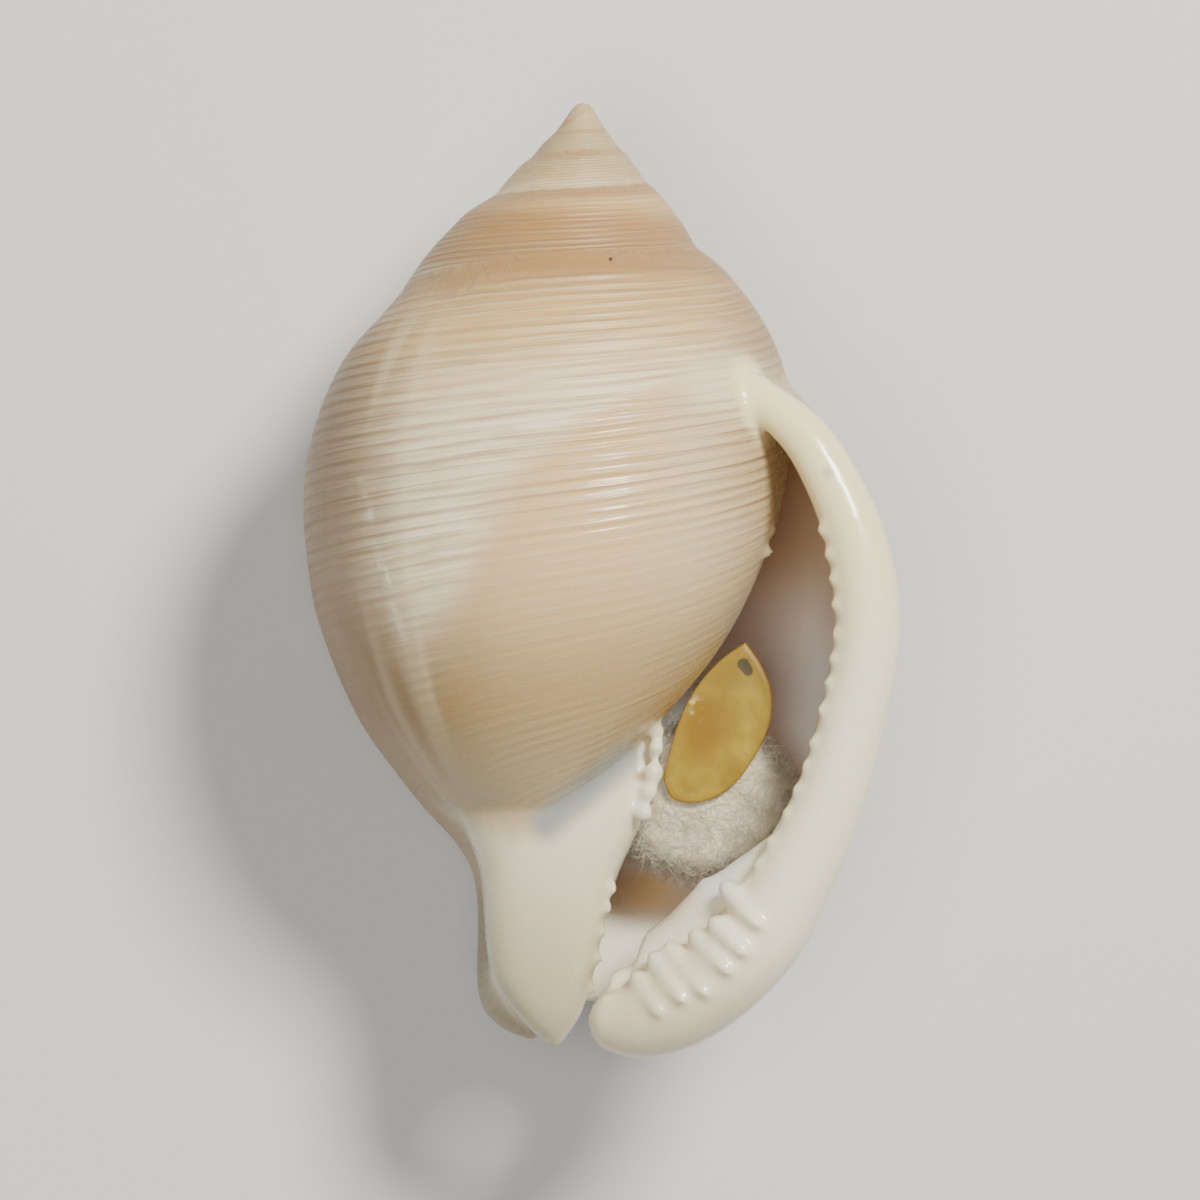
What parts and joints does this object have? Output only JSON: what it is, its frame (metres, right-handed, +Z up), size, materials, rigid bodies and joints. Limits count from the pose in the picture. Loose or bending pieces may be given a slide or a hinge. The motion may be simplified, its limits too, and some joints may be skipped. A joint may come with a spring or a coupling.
{
  "type": "helmet shell",
  "caption": "Smooth helmet seashell lying on its back, aperture up, with its horny operculum set on a wad of cotton wool in the mouth.",
  "frame": {"origin": "middle of the base: centre of the bounding box in plan, on the plane of the flat spot it rests on", "axes": "+Y along the shell's axis towards the apex, +Z up out of the aperture, +X towards the outer lip"},
  "size_m": [0.0436, 0.0694, 0.0386],
  "materials": {
    "shell": "porcelain-glossy cream and tan shell with an ivory lip",
    "operculum": "translucent-looking amber horn",
    "cotton_wool": "loose white fibres"
  },
  "bodies": {
    "root": {"shell": "shell", "operculum": "operculum", "cotton_wool": "cotton_wool"}
  },
  "joints": []
}
